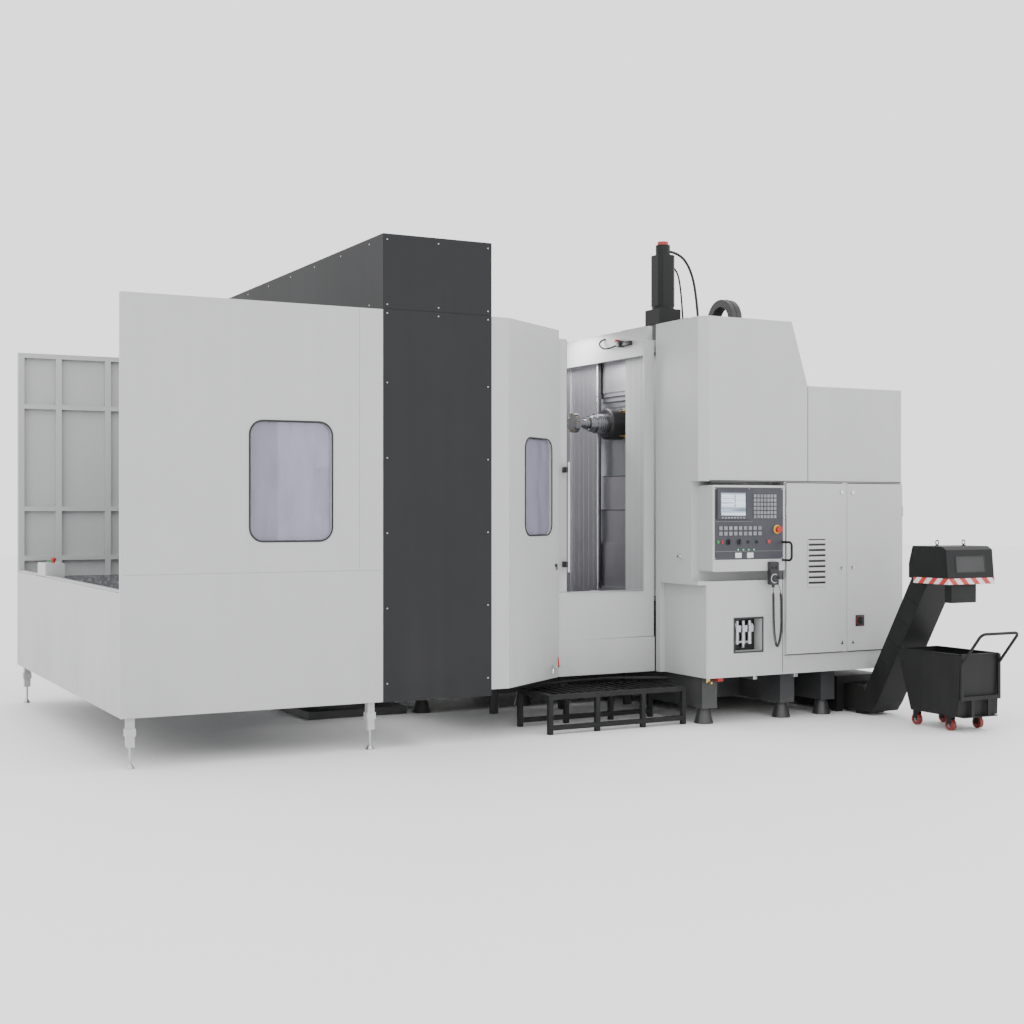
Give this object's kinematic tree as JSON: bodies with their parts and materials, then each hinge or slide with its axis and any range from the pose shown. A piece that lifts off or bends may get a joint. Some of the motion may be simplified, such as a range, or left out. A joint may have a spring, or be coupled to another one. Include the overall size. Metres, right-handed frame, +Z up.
{
  "type": "cnc machining center",
  "caption": "Horizontal machining centre with pallet changer tower, sliding door, moving column and spindle, console, cabinet, chip conveyor, chip cart and step.",
  "frame": {"origin": "middle of the footprint on the floor", "axes": "+X from the loading end to the cabinet end, +Y from the operator's side to the rear, +Z up"},
  "size_m": [6.32, 5.34, 3.97],
  "materials": {
    "white_paint": "smooth light grey-white powder coat",
    "dark_paint": "fine textured charcoal paint",
    "bed_iron": "painted black casting",
    "steel": "ground steel",
    "chrome": "polished",
    "black_steel": "black oxide",
    "glass": "laminated pane",
    "grey_tray": "grey tray paint",
    "panel_dark": "textured dark panel",
    "key_grey": "moulded keys",
    "red_plastic": "red button",
    "rubber_black": "coiled cord jacket",
    "wheel_red": "dark red caster wheel"
  },
  "bodies": {
    "machine": {"machine_bed": "bed_iron", "levelling_feet": "steel", "leg_posts": "white_paint", "setup_front_wall": "white_paint", "setup_end_wall": "white_paint", "setup_rear_wall": "white_paint", "setup_floor": "grey_tray", "fixed_windows": "glass", "shutter_tower": "dark_paint", "changer_pedestal": "bed_iron", "angled_cover": "white_paint", "door_frame": "white_paint", "spindle_room_wall": "white_paint", "side_cover": "white_paint", "air_service_unit": "steel", "electrical_cabinet": "white_paint", "rear_cover": "white_paint", "console_housing": "white_paint", "console_panel": "panel_dark", "grab_handle": "black_steel", "handwheel_pendant": "panel_dark", "handwheel_cord": "rubber_black", "chip_tank": "dark_paint", "conveyor_trough": "dark_paint", "conveyor_hood": "dark_paint", "conveyor_gearmotor": "dark_paint", "step_platform": "black_steel"},
    "door": {"sliding_door": "white_paint", "door_window": "glass", "door_handle": "steel"},
    "left_door": {"left_cabinet_door": "white_paint"},
    "right_door": {"right_cabinet_door": "white_paint"},
    "isolator": {"main_switch": "panel_dark"},
    "estop": {"estop_button": "red_plastic"},
    "feed_dial": {"feed_knob": "panel_dark"},
    "spindle_dial": {"spindle_knob": "panel_dark"},
    "keys": {"console_keys": "key_grey"},
    "lift": {"lift_column": "steel"},
    "changer": {"changer_hub": "bed_iron", "changer_partition": "white_paint", "pallets": "steel"},
    "saddle": {"table_saddle": "bed_iron"},
    "table": {"rotary_table": "steel"},
    "column_body": {"column": "bed_iron", "column_frame": "steel", "axis_motor": "black_steel", "cable_chain": "panel_dark"},
    "cross_third": {"cross_leaf_third": "steel"},
    "cross_two_thirds": {"cross_leaf_two_thirds": "steel"},
    "upright_third": {"upright_leaf_third": "steel"},
    "upright_two_thirds": {"upright_leaf_two_thirds": "steel"},
    "head": {"spindle_head": "steel", "spindle_housing": "black_steel"},
    "spindle": {"spindle_nose": "chrome", "face_mill": "steel"},
    "magazine": {"tool_magazine": "steel"},
    "cart": {"cart_hopper": "dark_paint", "cart_frame": "black_steel"},
    "front_wheels": {"cart_wheels_front": "wheel_red"},
    "rear_wheels": {"cart_wheels_rear": "wheel_red"}
  },
  "joints": [
    {"name": "door_slide", "type": "slide", "parent": "machine", "child": "door", "axis": [1, 0, 0], "range_m": [0, 0.703]},
    {"name": "left_door_hinge", "type": "hinge", "parent": "machine", "child": "left_door", "pos_m": [1.96, -1.3335, 0.52], "axis": [0, 0, -1], "range_deg": [0, 95]},
    {"name": "right_door_hinge", "type": "hinge", "parent": "machine", "child": "right_door", "pos_m": [3.151, -1.3335, 0.52], "axis": [0, 0, 1], "range_deg": [0, 22]},
    {"name": "isolator_turn", "type": "hinge", "parent": "right_door", "child": "isolator", "pos_m": [2.7, -1.3335, 0.76], "axis": [0, -1, 0], "range_deg": [0, 90]},
    {"name": "estop_press", "type": "slide", "parent": "machine", "child": "estop", "axis": [0, 1, 0], "range_m": [0, 0.006], "stiffness_N_per_m": 300},
    {"name": "feed_dial_turn", "type": "hinge", "parent": "machine", "child": "feed_dial", "pos_m": [1.39, -1.355, 1.405], "axis": [0, -1, 0], "range_deg": [-120, 120]},
    {"name": "spindle_dial_turn", "type": "hinge", "parent": "machine", "child": "spindle_dial", "pos_m": [1.49, -1.355, 1.405], "axis": [0, -1, 0], "range_deg": [-120, 120]},
    {"name": "keys_press", "type": "slide", "parent": "machine", "child": "keys", "axis": [0, 1, 0], "range_m": [0, 0.0007], "stiffness_N_per_m": 400},
    {"name": "changer_lift", "type": "slide", "parent": "machine", "child": "lift", "axis": [0, 0, 1], "range_m": [-0.08, 0]},
    {"name": "changer_swing", "type": "hinge", "parent": "lift", "child": "changer", "pos_m": [-0.91, 0.875, 1], "axis": [0, 0, 1], "range_deg": [0, 180]},
    {"name": "table_feed", "type": "slide", "parent": "machine", "child": "saddle", "axis": [1, 0, 0], "range_m": [-0.1, 0.65]},
    {"name": "table_turn", "type": "hinge", "parent": "saddle", "child": "table", "pos_m": [-0.01, 0.875, 1], "axis": [0, 0, 1], "continuous": true},
    {"name": "column_feed", "type": "slide", "parent": "machine", "child": "column_body", "axis": [0, 1, 0], "range_m": [0, 1.38]},
    {"name": "cross_third_slide", "type": "slide", "parent": "machine", "child": "cross_third", "axis": [0, 1, 0], "range_m": [0, 0.4601]},
    {"name": "cross_two_thirds_slide", "type": "slide", "parent": "machine", "child": "cross_two_thirds", "axis": [0, 1, 0], "range_m": [0, 0.9201]},
    {"name": "head_feed", "type": "slide", "parent": "column_body", "child": "head", "axis": [0, 0, 1], "range_m": [-0.875, 0.135]},
    {"name": "upright_third_slide", "type": "slide", "parent": "column_body", "child": "upright_third", "axis": [0, 0, 1], "range_m": [-0.29177, 0.0451]},
    {"name": "upright_two_thirds_slide", "type": "slide", "parent": "column_body", "child": "upright_two_thirds", "axis": [0, 0, 1], "range_m": [-0.58343, 0.0901]},
    {"name": "spindle_spin", "type": "hinge", "parent": "head", "child": "spindle", "pos_m": [1.045, 0.16, 2.38], "axis": [1, 0, 0], "continuous": true},
    {"name": "magazine_turn", "type": "hinge", "parent": "machine", "child": "magazine", "pos_m": [1.898, 2.29, 1.75], "axis": [0, 1, 0], "continuous": true},
    {"name": "cart_roll", "type": "slide", "parent": "machine", "child": "cart", "axis": [0, -1, 0], "range_m": [0, 1]},
    {"name": "front_wheels_turn", "type": "hinge", "parent": "cart", "child": "front_wheels", "pos_m": [2.677, -2.301, 0.043], "axis": [1, 0, 0], "continuous": true},
    {"name": "rear_wheels_turn", "type": "hinge", "parent": "cart", "child": "rear_wheels", "pos_m": [2.677, -1.946, 0.043], "axis": [1, 0, 0], "continuous": true}
  ],
  "couplings": [
    {"joint": "cross_third_slide", "follows": "column_feed", "ratio": 0.33333},
    {"joint": "cross_two_thirds_slide", "follows": "column_feed", "ratio": 0.66667},
    {"joint": "upright_third_slide", "follows": "head_feed", "ratio": 0.33333},
    {"joint": "upright_two_thirds_slide", "follows": "head_feed", "ratio": 0.66667}
  ]
}
